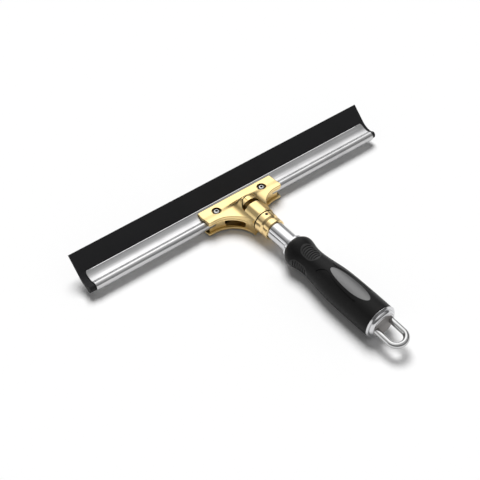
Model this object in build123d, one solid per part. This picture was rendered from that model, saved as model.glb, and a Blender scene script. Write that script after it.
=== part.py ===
"""Window squeegee lying on its back: brass head, steel blade channel, rubber blade and soft grip.

Lengths are in millimetres.  X runs along the blade, +Y points to the blade tip, -Y to the hanging
loop and +Z is up.  The shapes are drawn with Y = 0 at the front lip of the blade channel and are
moved at the end, so that the origin lies under the middle of the whole squeegee.
"""
from build123d import *
import math
import os

# Handle axis and fits
axis_z = 17.3            # height of the handle axis, also the radius of the end ring
sliding_gap = 0.3        # between parts that slide past each other
running_fit = 0.05       # radial clearance of pins, screws and the tube in their holes
seat_gap = 0.05          # between parts that are fixed face to face
overcut = 1.0            # how far a bore is drawn past the end of its part

# Blade channel, drawn as the middle line of one bent sheet
channel_length = 345.0
sheet = 0.9
sheet_round = 0.4
lip_y = 0.4
lip_corner_r = 3.0
lip_z = 17.55
roll_y = -15.4
roll_z = 11.35
roll_r = 3.55
valley_floor_z = 13.35
valley_r = 4.0
back_drop = 1.6
leg_slope = math.radians(20)
leg_length = 12.0

# Rubber blade
blade_overhang = 5.5
blade_shift = -1.2       # how far the rubber sits to one side in the channel
tip_y = 15.9
tip_z = 30.9
tip_thickness = 1.5

# Head casting, seen from above
plate_half = 45.0
plate_shoulder = 6.9     # straight rear edge beside each arch
plate_end_bow = 0.5
plate_front_y = -2.4
plate_rear_y = -22.2
neck_r = 12.1
plan_corner_r = 1.6
neck_rear_y = -49.5
neck_tail = 1.3          # least plain neck behind the arches

# Head casting, heights and walls
plate_front_z = 17.7
plate_step_y = -10.0     # where the plate starts to rise
plate_crest_y = -19.5
plate_crest_z = 19.0
plate_under_z = 15.0
rim_low_z = 16.3
rim_round = 0.8
groove_inset = 1.3
bead_inset = 0.5
bead_low_z = 13.3
bead_high_z = 15.4
bead_round = 0.5
flange_round = 0.6
flange_low_z = 1.8
flange_thickness = 1.8
flange_waist = 9.0
flange_front_y = -5.0
flange_end_y = -47.0
wall_inset = 2.6
wall_thickness = 2.0
sole_half = 43.0
sole_rear_y = -17.0
sole_wall = 2.4
window_length = 20.5
window_low_z = 4.4
window_high_z = 12.8
window_corner_r = 2.6
bulge_top_z = 29.3
bulge_half = 9.8
bulge_foot_y = -11.0
bulge_crown_y = -22.0
skin_columns = 36
skin_rows = 40
skin_margin = 2.0        # how far the skin is drawn past the outline of the head

# Release catch and its spring
slot_half = 10.6
slot_reach = 11.5
slot_gap = 0.9
slot_floor_z = 6.5
slot_step_z = 18.6
catch_r = 12.4
catch_half_angle = math.radians(48)
catch_front_y = -22.9
catch_rear_y = -28.2
catch_shank_half = 5.5
catch_waist_z = 18.9
catch_foot_z = 8.6
catch_pad_top_z = 14.4
catch_travel = 4.4
ridge_angle = math.radians(13.5)
ridge_groove_r = 0.55
stem_r = 2.8
stem_end_y = -44.0
spring_bore_r = 5.2
spring_bore_end_y = -42.0
spring_r = 4.0
spring_wire_r = 0.55
spring_turns = 6

# Clamp screws
screw_x = 28.1
screw_y = -11.2
screw_r = 2.5
screw_head_r = 3.5
screw_head_h = 2.3
screw_side_h = 0.75
screw_crown_r = 2.0
screw_crown_bulge = 0.3
screw_seat_z = 15.6
screw_tip_z = 14.2
screw_tip_r = 0.8
screw_cone_h = 1.3
spotface_r = 5.0
screw_socket_af = 3.0
screw_socket_depth = 1.5

# Neck ferrule with its grub screw
ferrule_front_y = -50.3
ferrule_r = 12.0
ferrule_back_r = 11.5
ferrule_shoulder_y = -57.4
ferrule_groove_y = -59.6
ferrule_groove_r = 9.95
ferrule_ring_y = -61.2
ferrule_ring_r = 11.2
ferrule_rear_y = -66.8
ferrule_edge = 0.5
spigot_r = 8.0
spigot_end_y = -43.6
spigot_bore_r = 3.6
socket_end_y = -51.8
grub_y = -53.6
grub_r = 1.55
grub_sink = 0.5
grub_socket_af = 1.5
grub_socket_depth = 1.2

# Handle tube and grip
tube_r = 9.5
tube_wall = 1.2
tube_front_y = -51.9
tube_end_inset = 2.3
front_ring_y = -92.4
front_ring_r = 12.0
front_ring_length = 2.8
front_ring_edge = 0.8
grip_front_y = -95.4
grip_turn = 3.0          # degrees that the grip sits turned on the tube
grip_rear_y = -212.6
grip_lip_r = 11.8
grip_flare_y = -103.5
grip_flare_r = 15.8
grip_flare_dip = 0.4
grip_waist_y = -120.5
grip_waist_r = 13.4
grip_swell_y = -150.0
grip_swell_r = 16.15
grip_belly_y = -176.0
grip_belly_r = 17.1
grip_rear_r = 16.9
core_r = 11.3
pad_depth = 1.6
rib_depth = 0.8
rib_width = 1.1
rib_pitch = 2.6
rib_sweep_r = 15.0
rib_margin = 1.2
thumb_pad_y = -119.3
thumb_pad_length = 21.5
thumb_pad_width = 15.0
side_pad_y = -118.0
side_pad_length = 23.0
side_pad_height = 12.5
side_pad_drop = 0.5
inlay_y = -177.3
inlay_front_reach = 30.0
inlay_rear_reach = 21.0
inlay_width = 13.0
crease_width = 1.1
crease_depth = 0.6
crease_front_x = 10.2
crease_front_y = -138.2
crease_bend_x = 5.2
crease_bend_y = -147.0
crease_run_x = 7.4
crease_run_y = -157.5
crease_low_x = 9.6
crease_low_y = -174.0
crease_rear_x = 9.6
crease_rear_y = -190.0

# End ring, plug and hanging loop
ring_front_y = -212.8
ring_rear_y = -214.8
ring_edge = 1.2
plug_r = 13.0
plug_end_y = -218.0
plug_round = 1.0
plug_spigot_length = 8.0
loop_turn = 8.0          # degrees that the plug and the loop sit turned
loop_droop = 3.0         # degrees that the loop points down
loop_wire_r = 3.0
loop_half = 8.8
loop_leg_y = -213.6
loop_bend_y = -234.2

# Radius of the arches, which the plate's width or the neck's length limits, and their middle
arch_r = min(plate_half - plate_shoulder - neck_r, plate_rear_y - neck_tail - neck_rear_y)
arch_x = neck_r + arch_r

# Front of the neck, behind the catch when it is drawn back
neck_front_y = catch_rear_y - catch_travel - sliding_gap

# Rear end of the tube, inside the grip, and front of the plug in the tube
tube_rear_y = grip_rear_y + tube_end_inset
plug_spigot_y = tube_rear_y + plug_spigot_length

# Middle of the whole squeegee, front to back
blade_rise = math.atan2(tip_z - lip_z, tip_y - lip_y)
blade_front_y = tip_y + tip_thickness * math.sin(blade_rise)
loop_end_y = loop_bend_y - loop_half - loop_wire_r
middle_y = (blade_front_y + loop_end_y) / 2
handle_axis = Axis((0, 0, axis_z), (0, 1, 0))


def side_view(face):
    """Stands a face drawn as (y, z) up in the plane across the blade."""
    return Plane.YZ * face


def front_view(face, y):
    """Stands a face drawn as (x, z) up at one Y, facing the blade."""
    return Plane((0, y, 0), x_dir=(1, 0, 0), z_dir=(0, -1, 0)) * face


def along_blade(face, half):
    """Runs a side view face along the blade to both sides."""
    return extrude(side_view(face), amount=half, both=True)


def rod(radius, y_from, y_to, x=0.0, z=axis_z):
    """Round bar parallel to the handle."""
    bar = Cylinder(radius, abs(y_to - y_from))
    return Pos(x, (y_from + y_to) / 2, z) * Rot(90, 0, 0) * bar


def turned(points):
    """Turned piece on the handle axis from (y, radius) corners."""
    corners = [(y, axis_z + r) for y, r in points]
    return revolve(side_view(make_face(Polyline(*corners, close=True))), handle_axis)


def channel_line(d):
    """Edges of the bent sheet line moved outwards by d, with its first and last point.

    A wide hollow band falls from the lip to the valley, a small hollow turns up to the roll, and the
    roll goes round the rubber's bulb into a straight leg.  All joints are tangent.
    """
    valley_z = valley_floor_z + valley_r
    reach = roll_r + valley_r
    valley_y = roll_y + math.sqrt(reach**2 - (valley_z - roll_z)**2)
    touch = math.atan2(valley_z - roll_z, valley_y - roll_y)
    band_turn = 2 * math.atan2(lip_z - valley_floor_z, lip_y - valley_y)
    band_r = (lip_y - valley_y) / math.sin(band_turn)
    low_z = roll_z - back_drop
    down = math.radians(270)
    left = math.radians(180)
    turn_end = down + leg_slope

    def on_band(angle):
        return (
            valley_y + (band_r - d) * math.cos(angle),
            valley_floor_z + band_r + (band_r - d) * math.sin(angle),
        )

    def on_valley(angle):
        return (valley_y + (valley_r - d) * math.cos(angle), valley_z + (valley_r - d) * math.sin(angle))

    def on_roll(angle, z=roll_z):
        return (roll_y + (roll_r + d) * math.cos(angle), z + (roll_r + d) * math.sin(angle))

    start = on_band(down + band_turn)
    leg = on_roll(turn_end, low_z)
    end = (leg[0] + leg_length * math.cos(leg_slope), leg[1] + leg_length * math.sin(leg_slope))
    edges = [
        ThreePointArc(start, on_band(down + band_turn / 2), on_band(down)),
        ThreePointArc(on_band(down), on_valley((down + touch + left) / 2), on_roll(touch)),
        ThreePointArc(on_roll(touch), on_roll((touch + left) / 2), on_roll(left)),
        Line(on_roll(left), on_roll(left, low_z)),
        ThreePointArc(on_roll(left, low_z), on_roll((left + turn_end) / 2, low_z), leg),
        Line(leg, end),
    ]
    return edges, start, end


def closed_face(edges, *joins):
    """Face inside a run of edges closed by straight joins."""
    return make_face(edges + [Line(a, b) for a, b in joins])


# Blade channel and rubber blade
outer, outer_start, outer_end = channel_line(sheet / 2)
inner, inner_start, inner_end = channel_line(-sheet / 2)
channel_face = closed_face(outer + inner, (outer_start, inner_start), (outer_end, inner_end))
sheet_ends = (outer_start, inner_start, outer_end, inner_end)
end_corners = [channel_face.vertices().sort_by_distance((*end, 0))[0] for end in sheet_ends]
channel_face = fillet(end_corners, sheet_round)
blade_channel = along_blade(channel_face, channel_length / 2)
channel_front_y = channel_face.bounding_box().max.X
channel_depth = channel_front_y - channel_face.bounding_box().min.X + overcut
channel_plan = Pos(0, channel_front_y - channel_depth / 2) * Rectangle(channel_length, channel_depth)
channel_plan = fillet(channel_plan.vertices().sort_by(Axis.Y)[-2:], lip_corner_r)
blade_channel &= extrude(channel_plan, amount=lip_z + sheet)

held, held_start, held_end = channel_line(-sheet / 2 - sliding_gap)
tip_top = (tip_y, tip_z)
tip_under = (blade_front_y, tip_z - tip_thickness * math.cos(blade_rise))
rubber_face = closed_face(held, (held_start, tip_top), (tip_top, tip_under), (tip_under, held_end))
rubber_blade = Pos(blade_shift, 0, 0) * along_blade(rubber_face, channel_length / 2 + blade_overhang)


# Head casting
def head_plan(inset, front_y, waist=neck_r):
    """Outline of the head from above: plate with bowed ends and two arches running to the neck."""
    half = plate_half - inset
    bow = half + plate_end_bow
    rear = plate_rear_y + inset
    mid = (front_y + rear) / 2
    r = arch_x - waist + inset
    arch_y = rear - r
    c = r * math.sqrt(0.5)
    inner = arch_x - r
    edges = [Line((half, front_y), (-half, front_y)), Line((inner, arch_y), (-inner, arch_y))]
    for s in (-1, 1):
        edges += [
            ThreePointArc((s * half, front_y), (s * bow, mid), (s * half, rear)),
            Line((s * half, rear), (s * arch_x, rear)),
            ThreePointArc((s * arch_x, rear), (s * (arch_x - c), arch_y + c), (s * inner, arch_y)),
        ]
    face = make_face(edges)
    corners = face.vertices().sort_by(lambda v: abs(v.X))[-4:]
    return fillet(corners, plan_corner_r * (half - arch_x) / plate_shoulder)


def eased(share):
    """Share from 0 to 1 with a soft start and end."""
    share = min(max(share, 0.0), 1.0)
    return share * share * (3 - 2 * share)


def head_top_z(x, y):
    """Height of the head's upper skin: a plate with one soft step that swells into the neck."""
    rise = eased((plate_step_y - y) / (plate_step_y - plate_crest_y))
    plate = plate_front_z + (plate_crest_z - plate_front_z) * rise
    across = 1 / (1 + (x / bulge_half)**4)
    along = eased((bulge_foot_y - y) / (bulge_foot_y - bulge_crown_y))
    return plate + (bulge_top_z - plate) * across * along


tall = 2 * axis_z
skin_half = plate_half + plate_end_bow + skin_margin
skin_front_y = plate_front_y + skin_margin
skin_length = skin_front_y - neck_rear_y + skin_margin
skin_x = [skin_half * (2 * i / skin_columns - 1) for i in range(skin_columns + 1)]
skin_y = [skin_front_y - skin_length * i / skin_rows for i in range(skin_rows + 1)]
skin_points = [[(x, y, head_top_z(x, y)) for x in skin_x] for y in skin_y]
skin = Face.make_surface_from_array_of_points(skin_points)
top_plate = extrude(skin, amount=tall, dir=(0, 0, -1))
top_plate &= Pos(0, 0, rim_low_z) * extrude(head_plan(0, plate_front_y), amount=tall)
rim = [e for e in top_plate.edges() if e.bounding_box().min.Z > plate_front_z - rim_round]
top_plate = fillet([e for e in rim if e.center().Y > neck_rear_y + neck_r / 2], rim_round)
under_plate = extrude(head_plan(groove_inset, plate_front_y), amount=rim_low_z + bead_round - plate_under_z)
wall_inner = head_plan(wall_inset + wall_thickness, flange_front_y - wall_thickness)
bead = extrude(head_plan(bead_inset, plate_front_y) - wall_inner, amount=bead_high_z - bead_low_z)
bead = fillet(bead.edges().group_by(Axis.Z)[-1] + bead.edges().group_by(Axis.Z)[0], bead_round)

lower_flange = extrude(head_plan(0, flange_front_y, flange_waist), amount=flange_thickness)
tail = Pos(0, flange_end_y - arch_r) * Rectangle(4 * neck_r, 2 * arch_r)
lower_flange -= extrude(tail, amount=flange_thickness)
lower_flange = fillet(lower_flange.edges().group_by(Axis.Z)[-1], flange_round)
wall_plan = head_plan(wall_inset, flange_front_y) - wall_inner
walls = extrude(wall_plan, amount=plate_under_z + rim_round - flange_low_z)
sole_length = flange_front_y - sole_rear_y
sole = Rectangle(2 * sole_half, sole_length)
sole -= Rectangle(2 * (sole_half - sole_wall), sole_length - 2 * sole_wall)
sole = Pos(0, (flange_front_y + sole_rear_y) / 2, 0) * extrude(sole, amount=flange_low_z + seat_gap)

neck = rod(neck_r, neck_front_y, neck_rear_y)
head_casting = Pos(0, 0, plate_under_z) * under_plate + Pos(0, 0, bead_low_z) * bead
head_casting += Pos(0, 0, flange_low_z) * (lower_flange + walls) + sole
head_casting += top_plate
head_casting += neck

cavity_line, cavity_start, cavity_end = channel_line(sheet / 2 + sliding_gap)
cavity_front_top = (lip_y + leg_length, cavity_start[1] + leg_length)
cavity_front_low = (lip_y + leg_length, cavity_end[1])
cavity = closed_face(
    cavity_line,
    (cavity_start, cavity_front_top),
    (cavity_front_top, cavity_front_low),
    (cavity_front_low, cavity_end),
)
head_casting -= along_blade(cavity, plate_half + 2 * plate_end_bow)

slot_length = roll_y - neck_front_y
slot_y = neck_front_y + slot_length / 2


def slot_block(shrink, z):
    """Upright half oval over the catch, open towards the neck, standing on one height."""
    a = slot_half - shrink
    b = slot_reach - shrink
    half_oval = Ellipse(a, b) & Pos(0, b) * Rectangle(2 * a, 2 * b)
    return Pos(0, neck_front_y, z) * extrude(half_oval, amount=tall)


guide_width = 2 * (catch_shank_half + sliding_gap)
guide_height = catch_pad_top_z + sliding_gap - slot_floor_z
guide = Box(guide_width, slot_length, guide_height)
lug_front_y = catch_front_y + sliding_gap
lug_slot = Box(guide_width, lug_front_y - neck_front_y, tall)
head_casting -= slot_block(0, slot_step_z)
head_casting -= Pos(0, slot_y, slot_floor_z + guide_height / 2) * guide
head_casting -= Pos(0, (lug_front_y + neck_front_y) / 2, slot_floor_z + tall / 2) * lug_slot
head_casting -= rod(spring_bore_r, neck_front_y, spring_bore_end_y)
head_casting -= rod(stem_r + running_fit, neck_front_y, neck_rear_y)
head_casting -= rod(spigot_r + running_fit, neck_rear_y, spigot_end_y + seat_gap)
for side in (-1, 1):
    upward = (Align.CENTER, Align.CENTER, Align.MIN)
    hole = Cylinder(screw_r + running_fit, tall, align=upward)
    head_casting -= Pos(side * screw_x, screw_y, valley_floor_z) * hole
    spot = Cylinder(spotface_r, tall, align=upward)
    head_casting -= Pos(side * screw_x, screw_y, screw_seat_z) * spot
    window = RectangleRounded(window_length, window_high_z - window_low_z, window_corner_r)
    window_z = (window_low_z + window_high_z) / 2
    reach = (arch_r + wall_inset + wall_thickness / 2) * math.sqrt(0.5)
    middle = (side * (arch_x - reach), plate_rear_y - arch_r + reach, window_z)
    facing = Plane(middle, x_dir=(1, side, 0), z_dir=(side, -1, 0))
    head_casting -= extrude(facing * window, amount=2 * wall_thickness, both=True)

# Release catch in the slot of the head
wing_x = catch_r * math.sin(catch_half_angle)
wing_z = axis_z + catch_r * math.cos(catch_half_angle)
catch_face = make_face([
    ThreePointArc((-wing_x, wing_z), (0, axis_z + catch_r), (wing_x, wing_z)),
    Polyline((wing_x, wing_z), (wing_x, catch_waist_z), (-wing_x, catch_waist_z), (-wing_x, wing_z)),
])
catch_depth = catch_front_y - catch_rear_y
release_catch = extrude(front_view(catch_face, catch_front_y), amount=catch_depth)
release_catch &= slot_block(slot_gap, catch_waist_z)
shank = Box(2 * catch_shank_half, catch_depth, axis_z - catch_foot_z + stem_r)
shank_z = (axis_z + stem_r + catch_foot_z) / 2
release_catch += Pos(0, (catch_front_y + catch_rear_y) / 2, shank_z) * shank
pad_front_y = roll_y - roll_r - sheet / 2 - sliding_gap
pad = Box(2 * catch_shank_half, pad_front_y - catch_front_y, catch_pad_top_z - catch_foot_z)
pad_middle_z = (catch_pad_top_z + catch_foot_z) / 2
release_catch += Pos(0, (pad_front_y + catch_front_y) / 2, pad_middle_z) * pad
release_catch += rod(stem_r, catch_rear_y, stem_end_y)
for side in (-1, 1):
    groove_x = side * catch_r * math.sin(ridge_angle)
    groove_z = axis_z + catch_r * math.cos(ridge_angle)
    release_catch -= rod(ridge_groove_r, catch_front_y, catch_rear_y, groove_x, groove_z)

# Spring between the catch and the floor of its bore
spring_length = catch_rear_y - spring_bore_end_y - 2 * spring_wire_r - 2 * seat_gap
coil = Helix(spring_length / spring_turns, spring_length, spring_r)
wire = Plane(coil @ 0, z_dir=coil % 0) * Circle(spring_wire_r)
spring_seat_y = spring_bore_end_y + spring_wire_r + seat_gap
catch_spring = Pos(0, spring_seat_y, axis_z) * Rot(-90, 0, 0) * sweep(wire, path=coil)


# Clamp screws
def clamp_screw(side):
    """Button head screw with a hexagon socket and a cone point."""
    cone_z = screw_tip_z + screw_cone_h
    head_top = screw_seat_z + screw_head_h
    shoulder = (screw_head_r, screw_seat_z + screw_side_h)
    profile = make_face([
        Polyline(
            (0, head_top),
            (0, screw_tip_z),
            (screw_tip_r, screw_tip_z),
            (screw_r, cone_z),
            (screw_r, screw_seat_z + seat_gap),
            (screw_head_r, screw_seat_z + seat_gap),
            shoulder,
        ),
        SagittaArc(shoulder, (screw_crown_r, head_top), -screw_crown_bulge),
        Line((screw_crown_r, head_top), (0, head_top)),
    ])
    body = revolve(Plane.XZ * profile, Axis.Z)
    socket = extrude(RegularPolygon(screw_socket_af / 2, 6, major_radius=False), amount=tall)
    body -= Pos(0, 0, head_top - screw_socket_depth) * socket
    return Pos(side * screw_x, screw_y, 0) * body


# Neck ferrule and grub screw
neck_ferrule = turned([
    (spigot_end_y, spigot_bore_r),
    (spigot_end_y, spigot_r),
    (ferrule_front_y, spigot_r),
    (ferrule_front_y, ferrule_r - ferrule_edge),
    (ferrule_front_y - ferrule_edge, ferrule_r),
    (ferrule_shoulder_y, ferrule_back_r),
    (ferrule_groove_y, ferrule_groove_r),
    (ferrule_ring_y, ferrule_groove_r),
    (ferrule_ring_y - ferrule_edge, ferrule_ring_r),
    (ferrule_rear_y + ferrule_edge, ferrule_ring_r),
    (ferrule_rear_y, ferrule_ring_r - ferrule_edge),
    (ferrule_rear_y, tube_r + running_fit),
    (socket_end_y, tube_r + running_fit),
    (socket_end_y, spigot_bore_r),
])
grub_hole = Cylinder(grub_r + running_fit, ferrule_r, align=(Align.CENTER, Align.CENTER, Align.MIN))
neck_ferrule -= Pos(0, grub_y, axis_z + tube_r - seat_gap) * grub_hole
grub_length = ferrule_r - tube_r - grub_sink - 2 * seat_gap
grub = Cylinder(grub_r, grub_length, align=(Align.CENTER, Align.CENTER, Align.MIN))
grub_socket = extrude(RegularPolygon(grub_socket_af / 2, 6, major_radius=False), amount=ferrule_r)
grub -= Pos(0, 0, grub_length - grub_socket_depth) * grub_socket
ferrule_grub_screw = Pos(0, grub_y, axis_z + tube_r + seat_gap) * grub

# Handle tube and the ring in front of the grip
handle_tube = rod(tube_r, tube_front_y, tube_rear_y) - rod(tube_r - tube_wall, tube_front_y, tube_rear_y)
front_ring_rear_y = front_ring_y - front_ring_length
grip_front_ring = turned([
    (front_ring_y, tube_r + running_fit),
    (front_ring_y, front_ring_r - front_ring_edge),
    (front_ring_y - front_ring_edge, front_ring_r),
    (front_ring_rear_y, front_ring_r),
    (front_ring_rear_y, tube_r + running_fit),
])


# Grip
def grip_solid(shrink):
    """Outer form of the grip, turned on the handle axis, made thinner all round by shrink."""
    stations = [
        (grip_front_y, grip_lip_r),
        (grip_flare_y, grip_flare_r),
        ((grip_flare_y + grip_waist_y) / 2, (grip_flare_r + grip_waist_r) / 2 - grip_flare_dip),
        (grip_waist_y, grip_waist_r),
        (grip_swell_y, grip_swell_r),
        (grip_belly_y, grip_belly_r),
        (grip_rear_y, grip_rear_r),
    ]
    rim = [(y, axis_z + r - shrink) for y, r in stations]
    face = make_face([
        Spline(*rim),
        Polyline(rim[-1], (grip_rear_y, axis_z), (grip_front_y, axis_z), rim[0]),
    ])
    return revolve(side_view(face), handle_axis)


grip_core = rod(core_r, grip_front_y, grip_rear_y) - rod(tube_r + running_fit, grip_front_y, grip_rear_y)
grip_form = grip_solid(0)
pad_floor = grip_solid(pad_depth)
rib_floor = grip_solid(rib_depth)


def thumb_prism(grow):
    """Upright block over the oval thumb pad."""
    oval = SlotOverall(thumb_pad_length + 2 * grow, thumb_pad_width + 2 * grow, rotation=90)
    return Pos(0, thumb_pad_y, axis_z) * extrude(oval, amount=tall)


def side_prism(side, grow):
    """Block lying across the grip over one oval side pad."""
    oval = SlotOverall(side_pad_length + 2 * grow, side_pad_height + 2 * grow)
    placed = Plane((0, side_pad_y, axis_z - side_pad_drop), x_dir=(0, 1, 0), z_dir=(side, 0, 0)) * oval
    return extrude(placed, amount=tall)


def inlay_prism(grow):
    """Upright block over the inlay, a long oval that is rounder at the rear."""
    half = inlay_width / 2 + grow
    leaf = Sketch()
    for reach in (inlay_front_reach + grow, -inlay_rear_reach - grow):
        leaf += Ellipse(half, abs(reach)) & Pos(0, reach / 2) * Rectangle(2 * half, abs(reach))
    return Pos(0, inlay_y, axis_z) * extrude(leaf, amount=tall)


def crosswise_ribs(length):
    """Row of upright curved strips across the grip, bowed towards the blade."""
    count = int(length / rib_pitch) - 1
    strips = []
    for i in range(count):
        y = thumb_pad_y + (i - (count - 1) / 2) * rib_pitch
        ring = Circle(rib_sweep_r + rib_width / 2) - Circle(rib_sweep_r - rib_width / 2)
        half_plane = Pos(0, rib_sweep_r / 2) * Rectangle(4 * rib_sweep_r, 2 * rib_sweep_r)
        strips.append(Pos(0, y - rib_sweep_r, axis_z) * extrude(ring & half_plane, amount=tall))
    return strips


thumb_pad = (thumb_prism(0) & grip_form) - pad_floor
for strip in crosswise_ribs(thumb_pad_length):
    thumb_pad -= (strip & thumb_prism(-rib_margin)) - rib_floor


def side_pad(side):
    """Soft oval pad on one side of the grip with upright ribs."""
    pad_body = (side_prism(side, 0) & grip_form) - pad_floor
    count = int(side_pad_length / rib_pitch) - 1
    for i in range(count):
        y = side_pad_y + (i - (count - 1) / 2) * rib_pitch
        strip = Pos(side * tall / 2, y, axis_z) * Box(tall, rib_width, tall)
        pad_body -= (strip & side_prism(side, -rib_margin)) - rib_floor
    return pad_body


grip_inlay = (inlay_prism(0) & grip_form) - pad_floor
grip_body = grip_form - rod(core_r + seat_gap, grip_front_y + overcut, grip_rear_y - overcut)
pad_seat = grip_solid(pad_depth + seat_gap)
seats = [thumb_prism(seat_gap), side_prism(-1, seat_gap), side_prism(1, seat_gap), inlay_prism(seat_gap)]
for prism in seats:
    grip_body -= prism - pad_seat
crease_path = Spline(
    (crease_front_x, crease_front_y),
    (crease_bend_x, crease_bend_y),
    (crease_run_x, crease_run_y),
    (crease_low_x, crease_low_y),
    (crease_rear_x, crease_rear_y),
)
crease = Pos(0, 0, axis_z) * extrude(trace(crease_path, crease_width), amount=tall)
for line in (crease, mirror(crease, about=Plane.YZ)):
    grip_body -= line - grip_solid(crease_depth)

# End ring, plug and hanging loop
end_ring = turned([
    (ring_front_y, plug_r + seat_gap),
    (ring_front_y, axis_z - ring_edge / 2),
    (ring_front_y - ring_edge / 2, axis_z),
    (ring_rear_y + ring_edge, axis_z),
    (ring_rear_y, axis_z - ring_edge),
    (ring_rear_y, plug_r + seat_gap),
])
plug_spigot_r = tube_r - tube_wall - seat_gap
end_plug = turned([
    (plug_end_y, 0),
    (plug_spigot_y, 0),
    (plug_spigot_y, plug_spigot_r),
    (tube_rear_y - seat_gap, plug_spigot_r),
    (tube_rear_y - seat_gap, tube_r),
    (grip_rear_y - seat_gap, tube_r),
    (grip_rear_y - seat_gap, plug_r),
    (plug_end_y, plug_r),
])
end_plug = fillet(end_plug.edges().filter_by(GeomType.CIRCLE).sort_by(Axis.Y)[0], plug_round)
droop = Pos(0, plug_end_y, axis_z) * Rot(loop_droop, 0, 0) * Pos(0, -plug_end_y, -axis_z)
for side in (-1, 1):
    leg_hole = rod(loop_wire_r + seat_gap, loop_leg_y, plug_end_y - overcut, side * loop_half)
    end_plug -= droop * leg_hole

loop_path = (
    Line((-loop_half, loop_leg_y - seat_gap), (-loop_half, loop_bend_y))
    + ThreePointArc((-loop_half, loop_bend_y), (0, loop_bend_y - loop_half), (loop_half, loop_bend_y))
    + Line((loop_half, loop_bend_y), (loop_half, loop_leg_y - seat_gap))
)
loop_path = Pos(0, 0, axis_z) * loop_path
loop_start = Plane(loop_path @ 0, z_dir=loop_path % 0)
hanging_loop = droop * sweep(loop_start * Circle(loop_wire_r), path=loop_path)

# Files
nodes = {
    "rubber_blade": rubber_blade,
    "blade_channel": blade_channel,
    "head_casting": head_casting,
    "release_catch": release_catch,
    "catch_spring": catch_spring,
    "clamp_screw_left": clamp_screw(-1),
    "clamp_screw_right": clamp_screw(1),
    "neck_ferrule": neck_ferrule,
    "ferrule_grub_screw": ferrule_grub_screw,
    "handle_tube": handle_tube,
    "grip_front_ring": grip_front_ring,
    "grip_core": grip_core,
    "grip_body": grip_body,
    "thumb_pad": thumb_pad,
    "side_pad_left": side_pad(-1),
    "side_pad_right": side_pad(1),
    "grip_inlay": grip_inlay,
    "end_ring": end_ring,
    "end_plug": end_plug,
    "hanging_loop": hanging_loop,
}
grip_nodes = ("grip_body", "thumb_pad", "side_pad_left", "side_pad_right", "grip_inlay")
loop_nodes = ("end_plug", "hanging_loop")
turns = {name: grip_turn for name in grip_nodes} | {name: loop_turn for name in loop_nodes}
os.makedirs("parts", exist_ok=True)
for name, shape in nodes.items():
    turn = Pos(0, 0, axis_z) * Rot(0, -turns.get(name, 0), 0) * Pos(0, 0, -axis_z)
    export_step(Pos(0, -middle_y, 0) * turn * shape, f"parts/{name}.step")
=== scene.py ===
"""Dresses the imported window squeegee: studio, camera and one finish for each piece."""

import logging
import math
from dataclasses import dataclass
from enum import Enum
from functools import lru_cache
from typing import Any, Dict, List, Tuple

import bmesh
import bpy
import numpy as np
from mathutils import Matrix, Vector


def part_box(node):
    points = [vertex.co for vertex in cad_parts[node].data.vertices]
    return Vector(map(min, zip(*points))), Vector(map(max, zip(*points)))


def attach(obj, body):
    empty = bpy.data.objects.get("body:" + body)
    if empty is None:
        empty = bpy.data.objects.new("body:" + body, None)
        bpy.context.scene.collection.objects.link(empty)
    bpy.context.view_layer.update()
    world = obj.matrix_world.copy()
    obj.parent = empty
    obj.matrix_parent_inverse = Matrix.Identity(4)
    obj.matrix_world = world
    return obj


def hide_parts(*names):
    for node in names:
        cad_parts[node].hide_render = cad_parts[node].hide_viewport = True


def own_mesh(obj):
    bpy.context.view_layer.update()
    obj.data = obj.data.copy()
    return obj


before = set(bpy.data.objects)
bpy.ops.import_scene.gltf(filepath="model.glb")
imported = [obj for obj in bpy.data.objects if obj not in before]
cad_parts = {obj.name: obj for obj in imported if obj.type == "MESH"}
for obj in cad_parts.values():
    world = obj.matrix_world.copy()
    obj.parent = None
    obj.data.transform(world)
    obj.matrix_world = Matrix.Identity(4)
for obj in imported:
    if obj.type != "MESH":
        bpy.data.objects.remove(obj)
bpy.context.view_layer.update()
LOG = logging.getLogger("squeegee")
MM = 0.001

# Open share of the sky over a point at which a groove gets its full painted shade, and at which it gets
# none
GROOVE_DARK = 0.25
GROOVE_UNSHADED = 0.7
GROOVE_SAMPLES = 8

Colour = Tuple[float, float, float]
Point = Tuple[float, float, float]


class Grain(Enum):
    """Which way the fine lines of a metal finish run."""

    NONE = "none"
    ALONG_X = "along_x"


class NodeTree:
    """Short way to add and join shader nodes in one material or world."""

    def __init__(self, tree: bpy.types.NodeTree) -> None:
        """Clears the tree and keeps it."""
        self.tree = tree
        tree.nodes.clear()

    def add(self, kind: str, values: Dict[str, Any] | None = None, **props: Any) -> bpy.types.Node:
        """Adds one node.

        Args:
            kind: Blender's node type name, without the ShaderNode prefix.
            values: input socket values by name.
            props: node properties.

        Returns:
            The new node.
        """
        node = self.tree.nodes.new("ShaderNode" + kind)
        for name, value in props.items():
            setattr(node, name, value)
        for name, value in (values or {}).items():
            node.inputs[name].default_value = value
        return node

    def join(self, out: bpy.types.NodeSocket, into: bpy.types.NodeSocket) -> None:
        """Links one socket to another."""
        self.tree.links.new(out, into)


def rgba(colour: Colour) -> Tuple[float, float, float, float]:
    """Adds full alpha to a colour."""
    return (*colour, 1.0)


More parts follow.
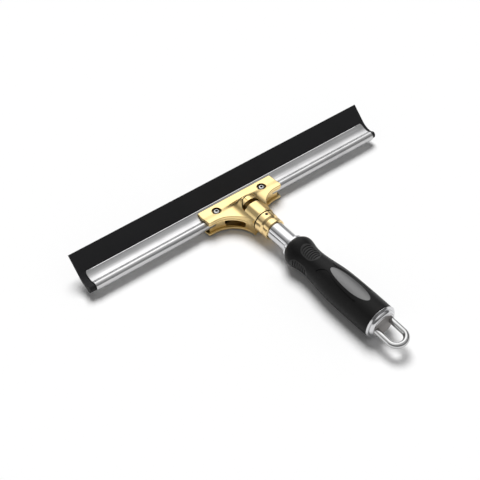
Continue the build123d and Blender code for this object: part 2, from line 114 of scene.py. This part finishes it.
def closed_in(t: NodeTree, unshaded_colour: bpy.types.NodeSocket, dark: Colour, reach: float) -> bpy.types.NodeSocket:
    """Darkens a colour with painted shade in corners and grooves, where nearby surfaces close a point in.

    Args:
        t: the material's node tree.
        unshaded_colour: colour of the open surface, without the painted shade.
        dark: colour of the painted shade at the bottom of a groove.
        reach: how far away a surface still counts, or 0 for none.

    Returns:
        The colour with the dark corners.
    """
    if not reach:
        return unshaded_colour
    # The open share of the sky over a point sets how much painted shade it gets
    open_sky = t.add("AmbientOcclusion", {"Distance": reach}, samples=GROOVE_SAMPLES)
    limits = {"From Min": GROOVE_DARK, "From Max": GROOVE_UNSHADED}
    share = t.add("MapRange", limits, interpolation_type="SMOOTHSTEP")
    painted_shade = t.add("Mix", data_type="RGBA")
    painted_shade.inputs["A"].default_value = rgba(dark)
    t.join(open_sky.outputs["AO"], share.inputs["Value"])
    t.join(share.outputs["Result"], painted_shade.inputs["Factor"])
    t.join(unshaded_colour, painted_shade.inputs["B"])
    return painted_shade.outputs["Result"]


@dataclass(frozen=True)
class MetalFinish:
    """Polished or drawn metal with slight waviness, fine lines and painted shade in its corners.

    Fine noise takes the roughness from base - wander to base + wander, and the bump adds a slow
    waviness and the fine lines. Streaks of the darker colour run with the grain. Where neighbouring
    surfaces within the reach of the painted shade close a point in, its colour darkens as painted shade.
    """

    name: str
    colour: Colour
    dark: Colour
    roughness: float
    wander: float = 0.05
    wave: float = 0.02
    wave_scale: float = 60.0
    grain: Grain = Grain.NONE
    grain_bump: float = 0.0
    streak: float = 0.0
    # Colour and reach of the painted shade in corners and grooves
    crevice_shade: Colour = (0.02, 0.015, 0.01)
    crevice_shade_reach: float = 0.0
    least_roughness: float = 0.02
    line_scale: float = 2600.0
    line_depth: float = 0.2 * MM
    line_stretch: float = 0.01
    wave_depth: float = 2.0 * MM
    streak_scale: float = 420.0

    def material(self) -> bpy.types.Material:
        """Builds the node material.

        Returns:
            The new material.
        """
        made = bpy.data.materials.new(self.name)
        made.use_nodes = True
        t = NodeTree(made.node_tree)
        out = t.add("OutputMaterial")
        skin = t.add("BsdfPrincipled", {"Metallic": 1.0})
        place = t.add("TexCoord")
        stretch = {Grain.NONE: (1, 1, 1), Grain.ALONG_X: (self.line_stretch, 1, 1)}
        turn = t.add("Mapping", {"Scale": stretch[self.grain]})
        lines = t.add("TexNoise", {"Scale": self.line_scale, "Detail": 3.0, "Roughness": 0.6})
        slow = t.add("TexNoise", {"Scale": self.wave_scale, "Detail": 2.0})
        rough = t.add("MapRange", {
            "To Min": max(self.least_roughness, self.roughness - self.wander),
            "To Max": self.roughness + self.wander,
        })
        tint = t.add("Mix", data_type="RGBA")
        tint.inputs["A"].default_value = rgba(self.dark)
        tint.inputs["B"].default_value = rgba(self.colour)
        contrast = t.add("MapRange", {"From Min": 0.25, "From Max": 0.5})
        bands = t.add("TexNoise", {"Scale": self.streak_scale, "Detail": 2.0})
        streaked = t.add("MapRange", {
            "From Min": 0.35,
            "From Max": 0.65,
            "To Min": 1.0 - self.streak,
            "To Max": 1.0,
        })
        mixed = t.add("Math", operation="MULTIPLY")
        wavy = t.add("Bump", {"Strength": self.wave, "Distance": self.wave_depth})
        drawn = t.add("Bump", {"Strength": self.grain_bump, "Distance": self.line_depth})
        t.join(place.outputs["Object"], turn.inputs["Vector"])
        t.join(turn.outputs["Vector"], lines.inputs["Vector"])
        t.join(place.outputs["Object"], slow.inputs["Vector"])
        t.join(lines.outputs["Fac"], rough.inputs["Value"])
        t.join(slow.outputs["Fac"], contrast.inputs["Value"])
        t.join(turn.outputs["Vector"], bands.inputs["Vector"])
        t.join(bands.outputs["Fac"], streaked.inputs["Value"])
        t.join(contrast.outputs["Result"], mixed.inputs[0])
        t.join(streaked.outputs["Result"], mixed.inputs[1])
        t.join(mixed.outputs[0], tint.inputs["Factor"])
        # Corners and grooves get painted shade
        shaded = closed_in(t, tint.outputs["Result"], self.crevice_shade, self.crevice_shade_reach)
        t.join(shaded, skin.inputs["Base Color"])
        t.join(rough.outputs["Result"], skin.inputs["Roughness"])
        t.join(slow.outputs["Fac"], wavy.inputs["Height"])
        t.join(lines.outputs["Fac"], drawn.inputs["Height"])
        t.join(wavy.outputs["Normal"], drawn.inputs["Normal"])
        t.join(drawn.outputs["Normal"], skin.inputs["Normal"])
        t.join(skin.outputs["BSDF"], out.inputs["Surface"])
        return made


@dataclass(frozen=True)
class MouldedFinish:
    """Rubber or plastic with a fine moulded pitting and a slow change of shade.

    Slow noise takes the shade between two colours, and fine noise gives the bump and takes the
    roughness from base - wander to base + wander. Grooves within the reach are darkened with painted shade.
    """

    name: str
    colour: Colour
    shade: Colour
    roughness: float
    pit_scale: float = 1800.0
    pit_bump: float = 0.15
    specular: float = 0.5
    metallic: float = 0.0
    # Reach and colour of the painted shade in grooves
    groove_shade_reach: float = 0.0
    groove_shade: Colour = (0.002, 0.002, 0.002)
    wander: float = 0.08
    pit_depth: float = 0.2 * MM
    shade_scale: float = 45.0

    def material(self) -> bpy.types.Material:
        """Builds the node material.

        Returns:
            The new material.
        """
        made = bpy.data.materials.new(self.name)
        made.use_nodes = True
        t = NodeTree(made.node_tree)
        out = t.add("OutputMaterial")
        skin = t.add("BsdfPrincipled", {"Specular IOR Level": self.specular, "Metallic": self.metallic})
        place = t.add("TexCoord")
        pits = t.add("TexNoise", {"Scale": self.pit_scale, "Detail": 2.0, "Roughness": 0.55})
        slow = t.add("TexNoise", {"Scale": self.shade_scale, "Detail": 3.0})
        tint = t.add("Mix", data_type="RGBA")
        tint.inputs["A"].default_value = rgba(self.shade)
        tint.inputs["B"].default_value = rgba(self.colour)
        rough = t.add("MapRange", {
            "To Min": self.roughness - self.wander,
            "To Max": self.roughness + self.wander,
        })
        bump = t.add("Bump", {"Strength": self.pit_bump, "Distance": self.pit_depth})
        t.join(place.outputs["Object"], pits.inputs["Vector"])
        t.join(place.outputs["Object"], slow.inputs["Vector"])
        t.join(slow.outputs["Fac"], tint.inputs["Factor"])
        # Grooves get painted shade
        shaded = closed_in(t, tint.outputs["Result"], self.groove_shade, self.groove_shade_reach)
        t.join(shaded, skin.inputs["Base Color"])
        t.join(pits.outputs["Fac"], rough.inputs["Value"])
        t.join(rough.outputs["Result"], skin.inputs["Roughness"])
        t.join(pits.outputs["Fac"], bump.inputs["Height"])
        t.join(bump.outputs["Normal"], skin.inputs["Normal"])
        t.join(skin.outputs["BSDF"], out.inputs["Surface"])
        return made


Finish = MetalFinish | MouldedFinish

# Painted shade darkens the casting's corners, recesses and window within 5 mm
CAST_BRASS = MetalFinish(
    "cast_brass", (0.88, 0.67, 0.325), (0.83, 0.60, 0.265), roughness=0.29,
    wave=0.20, wave_scale=30.0, crevice_shade_reach=5.0 * MM,
)
# Painted shade darkens the ferrule's grooves and steps within 3 mm
TURNED_BRASS = MetalFinish(
    "turned_brass", (0.88, 0.66, 0.33), (0.83, 0.60, 0.27), roughness=0.18,
    wave_scale=90.0, crevice_shade_reach=3.0 * MM,
)
CHANNEL_STEEL = MetalFinish(
    "drawn_steel", (0.64, 0.64, 0.64), (0.50, 0.50, 0.505), roughness=0.31, wander=0.07,
    wave=0.01, wave_scale=40.0, grain=Grain.ALONG_X, grain_bump=0.08, streak=0.8,
)
CHROME = MetalFinish(
    "bright_chrome", (0.64, 0.64, 0.65), (0.60, 0.60, 0.61), roughness=0.12, wander=0.03,
    wave=0.005, wave_scale=50.0,
)
# Painted shade darkens the loop within 2 mm of other surfaces
WIRE_STEEL = MetalFinish(
    "wire_steel", (0.54, 0.54, 0.54), (0.48, 0.48, 0.48), roughness=0.14, wander=0.04,
    wave=0.01, wave_scale=70.0, crevice_shade_reach=2.0 * MM,
)
# Painted shade darkens the screw heads inside their counterbores within 4 mm
SCREW_STEEL = MetalFinish(
    "bright_screw_steel", (0.60, 0.60, 0.60), (0.52, 0.52, 0.52), roughness=0.18,
    crevice_shade_reach=4.0 * MM,
)
DARK_STEEL = MetalFinish("blackened_steel", (0.06, 0.06, 0.06), (0.03, 0.03, 0.03), roughness=0.4)
BLADE_RUBBER = MouldedFinish(
    "black_blade_rubber", (0.021, 0.021, 0.022), (0.015, 0.015, 0.016), roughness=0.6,
    pit_scale=1500.0, pit_bump=0.05, specular=0.18,
)
GRIP_RUBBER = MouldedFinish(
    "black_grip_rubber", (0.010, 0.010, 0.010), (0.007, 0.007, 0.007), roughness=0.40,
    pit_scale=2200.0, pit_bump=0.12, specular=0.11,
)
# Painted shade darkens the pads' rib grooves within 1.6 mm
PAD_RUBBER = MouldedFinish(
    "black_pad_rubber", (0.040, 0.040, 0.040), (0.032, 0.032, 0.032), roughness=0.42,
    pit_scale=2200.0, pit_bump=0.10, specular=0.14, groove_shade_reach=1.6 * MM,
)
CORE_PLASTIC = MouldedFinish(
    "black_core_plastic", (0.03, 0.03, 0.03), (0.025, 0.025, 0.025), roughness=0.5,
)
INLAY_PLASTIC = MouldedFinish(
    "grey_inlay_plastic", (0.175, 0.175, 0.175), (0.15, 0.15, 0.15), roughness=0.40,
    pit_scale=2600.0, pit_bump=0.08, metallic=0.9,
)
PLUG_PLASTIC = MouldedFinish(
    "grey_plug_plastic", (0.37, 0.345, 0.335), (0.31, 0.29, 0.28), roughness=0.45,
    pit_scale=2000.0, pit_bump=0.06,
)


@lru_cache(maxsize=None)
def material_of(finish: Finish) -> bpy.types.Material:
    """Builds a finish's material once, for all the pieces that share it."""
    return finish.material()


def dress(node: str, finish: Finish) -> None:
    """Gives one CAD node its finish.

    Args:
        node: name of the CAD node.
        finish: the finish to build or to use again.
    """
    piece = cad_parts[node]
    piece.data.materials.clear()
    piece.data.materials.append(material_of(finish))
    LOG.info("dressed %s in %s", node, finish.name)


def closed_skin(name: str, grid: np.ndarray, capped: bool) -> bpy.types.Object:
    """Makes a mesh from rings of points.

    Point j of ring i is joined to the next point of its ring and to the same point of the next ring.
    The rings close on themselves. The last ring joins the first, or both get a flat cap.

    Args:
        name: name of the new piece.
        grid: points as an array of rings, points and coordinates.
        capped: whether the two end rings get caps.

    Returns:
        The new object, at the origin.
    """
    rings, around = grid.shape[:2]
    i, j = np.meshgrid(np.arange(rings - capped), np.arange(around), indexing="ij")
    i_next, j_next = (i + 1) % rings, (j + 1) % around
    corners = (i * around + j, i * around + j_next, i_next * around + j_next, i_next * around + j)
    faces: List[List[int]] = np.stack(corners, axis=-1).reshape(-1, 4).tolist()
    if capped:
        faces.append(np.arange(around)[::-1].tolist())
        faces.append(np.arange((rings - 1) * around, rings * around).tolist())
    mesh = bpy.data.meshes.new(name)
    mesh.from_pydata(grid.reshape(-1, 3).tolist(), [], faces)
    shape = bmesh.new()
    shape.from_mesh(mesh)
    bmesh.ops.recalc_face_normals(shape, faces=shape.faces)
    shape.to_mesh(mesh)
    shape.free()
    mesh.shade_smooth()
    piece = bpy.data.objects.new(name, mesh)
    bpy.context.scene.collection.objects.link(piece)
    return piece


@dataclass
class Blade:
    """Rubber blade in its steel channel, whose lip is burnished into a narrow flat hem."""

    rubber: MouldedFinish = BLADE_RUBBER
    channel: MetalFinish = CHANNEL_STEEL
    hem: MetalFinish = CHROME
    hem_half_width: float = 0.65 * MM
    hem_half_height: float = 0.42 * MM
    hem_end_inset: float = 3.2 * MM
    hem_points: int = 24
    hem_rings: int = 61
    hem_end_size: float = 0.5

    def build_hem(self) -> bpy.types.Object:
        """Carries a flat oval along the lip of the channel, with its ends drawn in.

        Ring i stands at x_i along the lip. Its points are the oval (y, z) = middle + (width cos a,
        height sin a), and the first and last rings are shrunk to round the ends.

        Returns:
            The hem.
        """
        low, high = (np.array(corner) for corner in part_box("blade_channel"))
        ends = (low[0] + self.hem_end_inset, high[0] - self.hem_end_inset)
        x = np.linspace(*ends, self.hem_rings)
        size = np.ones_like(x)
        size[[0, -1]] = self.hem_end_size
        a = np.linspace(0, 2 * math.pi, self.hem_points, endpoint=False)
        y = high[1] - self.hem_half_width + np.outer(size, self.hem_half_width * np.cos(a))
        z = high[2] - self.hem_half_height + np.outer(size, self.hem_half_height * np.sin(a))
        grid = np.stack([np.broadcast_to(x[:, None], y.shape), y, z], axis=-1)
        piece = closed_skin("channel_lip_hem", grid, capped=True)
        piece.data.materials.append(material_of(self.hem))
        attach(piece, "channel")
        return piece

    def build(self) -> None:
        """Dresses the rubber and the channel, and adds the hem."""
        dress("rubber_blade", self.rubber)
        dress("blade_channel", self.channel)
        LOG.info("added %s", self.build_hem().name)


@dataclass
class Head:
    """Brass head with its catch, screws, spring and ferrule."""

    casting: MetalFinish = CAST_BRASS
    turned: MetalFinish = TURNED_BRASS
    screws: MetalFinish = SCREW_STEEL
    grub: MetalFinish = DARK_STEEL
    wire_r: float = 0.55 * MM
    coil_turns: float = 6.5
    coil_flat_turns: float = 0.75
    coil_steps: int = 40
    wire_points: int = 12
    catch_travel: float = 4.4 * MM

    def build_coil(self) -> bpy.types.Object:
        """Winds the spring behind the catch, with flat end turns.

        The centre line is (r cos a, y, r sin a) about the axis of the neck. Along it y stays level for
        the flat turns at each end and rises evenly between them. A circle of points follows it, set
        out by the radial direction and the one square to it and to the line.

        Returns:
            The coil.
        """
        low, high = (np.array(corner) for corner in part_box("catch_spring"))
        middle = (low + high) / 2
        r = (high[0] - low[0]) / 2 - self.wire_r
        turns = np.linspace(0, self.coil_turns, int(self.coil_turns * self.coil_steps))
        active = self.coil_turns - 2 * self.coil_flat_turns
        share = np.clip((turns - self.coil_flat_turns) / active, 0, 1)
        a = 2 * math.pi * turns
        y = low[1] + self.wire_r + share * (high[1] - low[1] - 2 * self.wire_r)
        line = np.stack([middle[0] + r * np.cos(a), y, middle[2] + r * np.sin(a)], axis=-1)
        outward = np.stack([np.cos(a), np.zeros_like(a), np.sin(a)], axis=-1)
        along = np.gradient(line, axis=0)
        side = np.cross(along, outward)
        side /= np.linalg.norm(side, axis=-1, keepdims=True)
        b = np.linspace(0, 2 * math.pi, self.wire_points, endpoint=False)
        ring = outward[:, None] * np.cos(b)[:, None] + side[:, None] * np.sin(b)[:, None]
        piece = closed_skin("catch_coil", line[:, None] + self.wire_r * ring, capped=True)
        piece.data.materials.append(material_of(self.screws))
        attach(piece, "handle")
        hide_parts("catch_spring")
        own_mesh(piece)
        return piece

    def build(self) -> None:
        """Dresses the pieces of the head, and winds the spring."""
        for node in ("head_casting", "release_catch"):
            dress(node, self.casting)
        dress("neck_ferrule", self.turned)
        for node in ("clamp_screw_left", "clamp_screw_right"):
            dress(node, self.screws)
        dress("ferrule_grub_screw", self.grub)
        LOG.info("added %s", self.build_coil().name)


@dataclass
class Handle:
    """Tube, grip with its pads and inlay, end ring, plug and loop."""

    chrome: MetalFinish = CHROME
    wire: MetalFinish = WIRE_STEEL
    rubber: MouldedFinish = GRIP_RUBBER
    pads: MouldedFinish = PAD_RUBBER
    core: MouldedFinish = CORE_PLASTIC
    inlay: MouldedFinish = INLAY_PLASTIC
    plug: MouldedFinish = PLUG_PLASTIC
    bezel_outer_r: float = 14.55 * MM
    bezel_inner_r: float = 10.9 * MM
    bezel_reach: float = 3.4 * MM
    bezel_sunk: float = 0.6 * MM
    bezel_steps: int = 17
    bezel_points: int = 96

    def build_bezel(self) -> bpy.types.Object:
        """Turns the bright bevel that runs from the end ring to the face of the plug.

        Its profile is a quarter of an oval: radius = inner + (outer - inner) cos a and reach sin a
        behind the ring for a from 0 to 90 degrees, closed by a line sunk into the plug. Each profile
        point is turned about the axis of the grip.

        Returns:
            The bezel.
        """
        low, high = (np.array(corner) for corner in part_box("end_ring"))
        axis_x, axis_z = (low[0] + high[0]) / 2, (low[2] + high[2]) / 2
        a = np.linspace(0, math.pi / 2, self.bezel_steps)
        span = self.bezel_outer_r - self.bezel_inner_r
        radius = self.bezel_inner_r + span * np.cos(a)
        behind = self.bezel_reach * np.sin(a)
        radius = np.concatenate([radius, [self.bezel_inner_r, self.bezel_outer_r - self.bezel_sunk]])
        behind = np.concatenate([behind, [self.bezel_reach - 2 * self.bezel_sunk, -self.bezel_sunk / 2]])
        turn = np.linspace(0, 2 * math.pi, self.bezel_points, endpoint=False)
        x = axis_x + np.outer(np.cos(turn), radius)
        z = axis_z + np.outer(np.sin(turn), radius)
        y = np.broadcast_to(low[1] - behind, x.shape)
        piece = closed_skin("plug_bezel", np.stack([x, y, z], axis=-1), capped=False)
        piece.data.materials.append(material_of(self.chrome))
        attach(piece, "handle")
        return piece

    def build(self) -> None:
        """Dresses the pieces of the handle, and adds the bezel of the plug."""
        for node in ("handle_tube", "grip_front_ring", "end_ring"):
            dress(node, self.chrome)
        dress("end_plug", self.plug)
        dress("hanging_loop", self.wire)
        for node in ("thumb_pad", "side_pad_left", "side_pad_right"):
            dress(node, self.pads)
        dress("grip_body", self.rubber)
        dress("grip_core", self.core)
        dress("grip_inlay", self.inlay)
        LOG.info("added %s", self.build_bezel().name)


@dataclass(frozen=True)
class Panel:
    """Soft bright patch of the studio's surroundings, seen in one direction.

    With unit vectors across and up beside its middle direction, its brightness falls from level to
    nothing as q grows from core to 1, where q is the length of (across / wide, up / high) measured as
    tangents from the middle.
    """

    toward: Point
    wide: float
    high: float
    core: float
    level: float

    def axes(self) -> Tuple[Vector, Vector, Vector]:
        """Works out the panel's own directions.

        Returns:
            The middle direction, and the vectors across and up, divided by their half sizes.
        """
        middle = Vector(self.toward).normalized()
        across = middle.cross(Vector((0, 0, 1))).normalized()
        up = across.cross(middle)
        return middle, across / self.wide, up / self.high


@dataclass
class Studio:
    """Pale floor, soft surroundings and the camera of the photo."""

    camera_place: Point = (-0.5014, -0.53373, 0.7863)
    azimuth: float = -38.26
    elevation: float = 45.56
    lens: float = 84.99
    sensor: float = 36.0
    clip: Tuple[float, float] = (0.01, 50.0)
    floor_half: float = 4.0
    floor_colour: Colour = (0.95, 0.95, 0.95)
    floor_lift: float = 0.03
    world_level: float = 0.15
    backdrop_top: float = 0.08
    backdrop_end: float = 0.25
    least_front: float = 1e-4
    key_toward: Point = (0.216, 0.378, 0.90)
    key_spread: float = 34.0
    key_level: float = 3.05
    panels: Tuple[Panel, ...] = (
        Panel((0.30, 0.62, 0.72), 0.85, 0.90, 0.2, 1.75),
        Panel((-0.35, 0.15, 0.90), 0.80, 0.80, 0.1, 0.8),
        Panel((0.15, -0.22, 0.95), 1.3, 1.3, 0.1, 0.42),
        Panel((-0.80, 0.55, 0.26), 0.45, 0.24, 0.5, 0.8),
    )

    def build_camera(self) -> None:
        """Places the camera at the photo's viewing angle with no roll."""
        a, e = math.radians(self.azimuth), math.radians(self.elevation)
        back = Vector((math.sin(a) * math.cos(e), -math.cos(a) * math.cos(e), math.sin(e)))
        data = bpy.data.cameras.new("camera")
        data.sensor_width = self.sensor
        data.lens = self.lens
        data.clip_start, data.clip_end = self.clip
        camera = bpy.data.objects.new("camera", data)
        camera.rotation_mode = "QUATERNION"
        camera.rotation_quaternion = (-back).to_track_quat("-Z", "Y")
        camera.location = self.camera_place
        bpy.context.scene.collection.objects.link(camera)
        bpy.context.scene.camera = camera

    def shown_rays(self, t: NodeTree) -> bpy.types.NodeSocket:
        """Tells the rays that show the background from those that only light.

        Args:
            t: node tree of the floor or of the world.

        Returns:
            A socket that is 1 for camera, glossy and transmission rays, and 0 for the others.
        """
        path = t.add("LightPath")
        shown = path.outputs["Is Camera Ray"]
        for kind in ("Is Glossy Ray", "Is Transmission Ray"):
            either = t.add("Math", operation="MAXIMUM")
            t.join(shown, either.inputs[0])
            t.join(path.outputs[kind], either.inputs[1])
            shown = either.outputs[0]
        return shown

    def build_floor(self) -> None:
        """Lays a flat white floor that keeps shadows and shows a little brighter than it is lit."""
        h = self.floor_half
        mesh = bpy.data.meshes.new("floor")
        mesh.from_pydata([(-h, -h, 0), (h, -h, 0), (h, h, 0), (-h, h, 0)], [], [(0, 1, 2, 3)])
        floor = bpy.data.objects.new("floor", mesh)
        bpy.context.scene.collection.objects.link(floor)
        made = bpy.data.materials.new("floor_paper")
        made.use_nodes = True
        t = NodeTree(made.node_tree)
        out = t.add("OutputMaterial")
        paper = t.add("BsdfDiffuse", {"Color": rgba(self.floor_colour)})
        lift = t.add("Emission", {"Color": (1, 1, 1, 1), "Strength": self.floor_lift})
        none = t.add("Emission", {"Strength": 0.0})
        seen = t.add("MixShader")
        both = t.add("AddShader")
        t.join(self.shown_rays(t), seen.inputs["Fac"])
        t.join(none.outputs[0], seen.inputs[1])
        t.join(lift.outputs[0], seen.inputs[2])
        t.join(paper.outputs[0], both.inputs[0])
        t.join(seen.outputs[0], both.inputs[1])
        t.join(both.outputs[0], out.inputs["Surface"])
        mesh.materials.append(made)

    def panel_light(self, t: NodeTree, way: bpy.types.NodeSocket, panel: Panel) -> bpy.types.NodeSocket:
        """Adds the nodes of one panel to the world.

        Args:
            t: the world's node tree.
            way: direction of the ray.
            panel: the panel.

        Returns:
            The socket with the panel's brightness.
        """
        parts = []
        for axis in panel.axes():
            dot = t.add("VectorMath", operation="DOT_PRODUCT")
            dot.inputs[1].default_value = axis
            t.join(way, dot.inputs[0])
            parts.append(dot.outputs["Value"])
        flat = t.add("CombineXYZ")
        t.join(parts[1], flat.inputs["X"])
        t.join(parts[2], flat.inputs["Y"])
        length = t.add("VectorMath", operation="LENGTH")
        t.join(flat.outputs[0], length.inputs[0])
        front = t.add("Math", operation="MAXIMUM")
        front.inputs[1].default_value = self.least_front
        t.join(parts[0], front.inputs[0])
        tangent = t.add("Math", operation="DIVIDE")
        t.join(length.outputs["Value"], tangent.inputs[0])
        t.join(front.outputs[0], tangent.inputs[1])
        fade = t.add("MapRange", {
            "From Min": panel.core,
            "From Max": 1.0,
            "To Min": panel.level,
            "To Max": 0.0,
        }, interpolation_type="SMOOTHSTEP")
        t.join(tangent.outputs[0], fade.inputs["Value"])
        return fade.outputs["Result"]

    def build_world(self) -> None:
        """Lights from all round at a low level, and shows the white backdrop and the soft panels.

        Camera, glossy and transmission rays see world level + backdrop + panels. The backdrop is white
        at the horizon and fades out above it.
        """
        world = bpy.data.worlds.new("studio")
        bpy.context.scene.world = world
        world.use_nodes = True
        t = NodeTree(world.node_tree)
        out = t.add("OutputWorld")
        place = t.add("TexCoord")
        height = t.add("SeparateXYZ")
        t.join(place.outputs["Generated"], height.inputs[0])
        backdrop = t.add("MapRange", {
            "From Min": self.backdrop_top,
            "From Max": self.backdrop_end,
            "To Min": 1.0 - self.world_level,
            "To Max": 0.0,
        }, interpolation_type="SMOOTHSTEP")
        t.join(height.outputs["Z"], backdrop.inputs["Value"])
        shine = backdrop.outputs["Result"]
        for panel in self.panels:
            total = t.add("Math", operation="ADD")
            t.join(shine, total.inputs[0])
            t.join(self.panel_light(t, place.outputs["Generated"], panel), total.inputs[1])
            shine = total.outputs[0]
        whole = t.add("Math", operation="MULTIPLY_ADD")
        whole.inputs[2].default_value = self.world_level
        t.join(shine, whole.inputs[0])
        t.join(self.shown_rays(t), whole.inputs[1])
        sky = t.add("Background", {"Color": (1, 1, 1, 1)})
        t.join(whole.outputs[0], sky.inputs["Strength"])
        t.join(sky.outputs[0], out.inputs["Surface"])

    def build_key(self) -> None:
        """Adds the wide key light, which metal doesn't mirror: the panels are what it shows."""
        data = bpy.data.lights.new("key", "SUN")
        data.energy = self.key_level
        data.angle = math.radians(self.key_spread)
        key = bpy.data.objects.new("key", data)
        key.rotation_mode = "QUATERNION"
        key.rotation_quaternion = Vector(self.key_toward).to_track_quat("Z", "Y")
        key.visible_glossy = False
        bpy.context.scene.collection.objects.link(key)

    def build(self) -> None:
        """Builds the whole studio."""
        bpy.context.scene.view_settings.view_transform = "Standard"
        self.build_camera()
        self.build_floor()
        self.build_world()
        self.build_key()


def main() -> None:
    """Builds the studio and the three sub-assemblies."""
    logging.basicConfig(level=logging.INFO)
    Studio().build()
    for part in (Blade(), Head(), Handle()):
        part.build()
        LOG.info("built %s", type(part).__name__)


if __name__ == "__main__":
    main()
